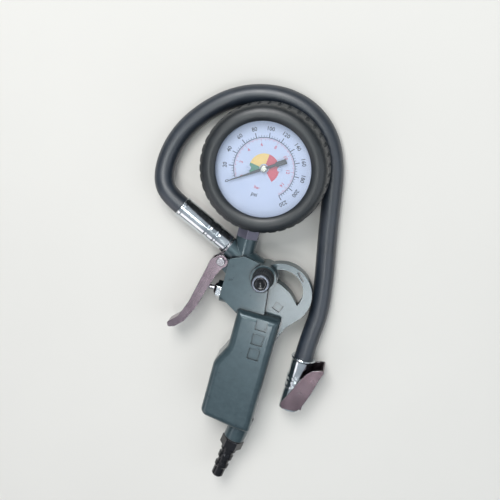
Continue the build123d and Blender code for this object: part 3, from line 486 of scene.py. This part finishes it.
def add_sector(bm, inner, outer, start, end, steps):
    """Flat ring sector between two radii and two directions."""
    rings = []
    for step in range(steps + 1):
        degrees = start + (end - start) * step / steps
        rings.append([bm.verts.new(on_dial(inner, degrees)), bm.verts.new(on_dial(outer, degrees))])
    for first, second in zip(rings, rings[1:]):
        bm.faces.new((first[0], second[0], second[1], first[1]))


def add_tick(bm, inner, outer, degrees, width):
    """Flat radial line."""
    half = math.degrees(width / 2 / outer)
    bm.faces.new([bm.verts.new(on_dial(radius, degrees + side * half * outer / radius))
                  for radius, side in ((inner, 1), (outer, 1), (outer, -1), (inner, -1))])


def add_text(bm, words, size, radius, degrees, turn):
    """Flat lettering centred on a point of the dial, turned by an angle."""
    curve = bpy.data.curves.new("lettering", "FONT")
    curve.body = words
    curve.size = size * MM
    curve.offset = STROKE * MM
    curve.align_x = "CENTER"
    curve.align_y = "CENTER"
    curve.resolution_u = LETTER_STEPS
    lettering = add_object("lettering", curve)
    bpy.context.view_layer.update()
    mesh = bpy.data.meshes.new_from_object(lettering.evaluated_get(bpy.context.evaluated_depsgraph_get()))
    mesh.transform(Matrix.Translation(on_dial(radius, degrees)) @ Matrix.Rotation(math.radians(turn), 4, "Z"))
    bm.from_mesh(mesh)
    bpy.data.meshes.remove(mesh)
    bpy.data.objects.remove(lettering)
    bpy.data.curves.remove(curve)


def add_numbers(bm, full, last, step, size, radius):
    """Numbers round a scale, each upright to its radius."""
    for reading in range(0, last + 1, step):
        degrees = angle_of(reading / full)
        add_text(bm, str(reading), size, radius, degrees, degrees - 90)


def add_print(name, bm, look):
    """Turn a finished bmesh into one printed layer of the dial."""
    for face in bm.faces:
        if face.normal.z < 0:
            face.normal_flip()
    mesh = bpy.data.meshes.new(name)
    bm.to_mesh(mesh)
    bm.free()
    add_piece(name, mesh, look)


def add_dial_print():
    """Black outer scale in psi, red inner scale in bar, and a coloured fan round the hub."""
    black = bmesh.new()
    add_sector(black, *PSI_ARC, angle_of(0), angle_of(1), ARC_STEPS)
    for psi in range(0, PSI_FULL + 1, PSI_STEP):
        length, width = PSI_MINOR_TICK if psi % PSI_MAJOR else PSI_MAJOR_TICK
        add_tick(black, ARC_R, ARC_R + length, angle_of(psi / PSI_FULL), width)
    add_numbers(black, PSI_FULL, PSI_FULL, PSI_MAJOR, *PSI_NUMBERS)
    add_text(black, "psi", *PSI_WORD, WORDS_AT, GAUGE_LEAN)
    add_print("dial_scale_psi", black, "print_black")

    red = bmesh.new()
    add_sector(red, *BAR_ARC, angle_of(0), angle_of(1), ARC_STEPS)
    for half_bar in range(0, 2 * BAR_LAST + 1):
        length, width = BAR_MINOR_TICK if half_bar % (2 * BAR_MAJOR) else BAR_MAJOR_TICK
        add_tick(red, BAR_TICK_R - length, BAR_TICK_R, angle_of(half_bar / 2 / BAR_FULL), width)
    add_numbers(red, BAR_FULL, BAR_LAST, BAR_MAJOR, *BAR_NUMBERS)
    add_text(red, "bar", *BAR_WORD, WORDS_AT, GAUGE_LEAN)
    add_print("dial_scale_bar", red, "print_red")

    for colour, start, end in (("green", SCALE_START, GREEN_TO), ("yellow", GREEN_TO, YELLOW_TO),
                               ("red", YELLOW_TO, angle_of(1))):
        fan = bmesh.new()
        add_sector(fan, *FAN_R, start, end, FAN_STEPS)
        add_print(f"dial_fan_{colour}", fan, f"fan_{colour}")


# ---------------------------------------------------------------- hose
HOSE_D = 0.012
HOSE_ORDER = 3
HOSE_STEPS = 16  # for each point of the route
HOSE_ROUND = 12
HOSE_EXIT = (-0.044717, 0.046866, 0.0135)
HOSE_ROUTE = [
    HOSE_EXIT,
    (-0.053387, 0.050751, 0.0135),
    (-0.0600, 0.0574, 0.0120),
    (-0.0623, 0.0685, 0.0092),
    (-0.0605, 0.0820, 0.0072),
    (-0.0550, 0.0950, 0.0064),
    (-0.0455, 0.1075, 0.0062),
    (-0.0325, 0.1190, 0.0062),
    (-0.0165, 0.1262, 0.0062),
    (0.0015, 0.1282, 0.0062),
    (0.0185, 0.1235, 0.0062),
    (0.0320, 0.1120, 0.0062),
    (0.0400, 0.0950, 0.0062),
    (0.0436, 0.0745, 0.0062),
    (0.0480, 0.0500, 0.0062),
    (0.0530, 0.0260, 0.0062),
    (0.0564, 0.0030, 0.0068),
    (0.0548, -0.0145, 0.0093),
    (0.0548, -0.0275, 0.0093),
]


def add_hose():
    """Rubber whip hose, round the gauge and down to the chuck."""
    curve = bpy.data.curves.new("whip_hose", "CURVE")
    curve.dimensions = "3D"
    spline = curve.splines.new("NURBS")
    spline.points.add(len(HOSE_ROUTE) - 1)
    for point, at in zip(spline.points, HOSE_ROUTE):
        point.co = (*at, 1)
    spline.order_u = HOSE_ORDER
    spline.use_endpoint_u = True
    spline.resolution_u = HOSE_STEPS
    curve.bevel_depth = HOSE_D / 2
    curve.bevel_resolution = HOSE_ROUND
    curve.materials.append(FINISHES["hose_rubber"])
    hose = add_object("whip_hose", curve)
    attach(hose, "gun")
    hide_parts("hose")


add_camera()
add_lamps()
add_world()
add_floor()
dress_cad_nodes()
add_springs()
add_boot()
add_dial_print()
add_hose()
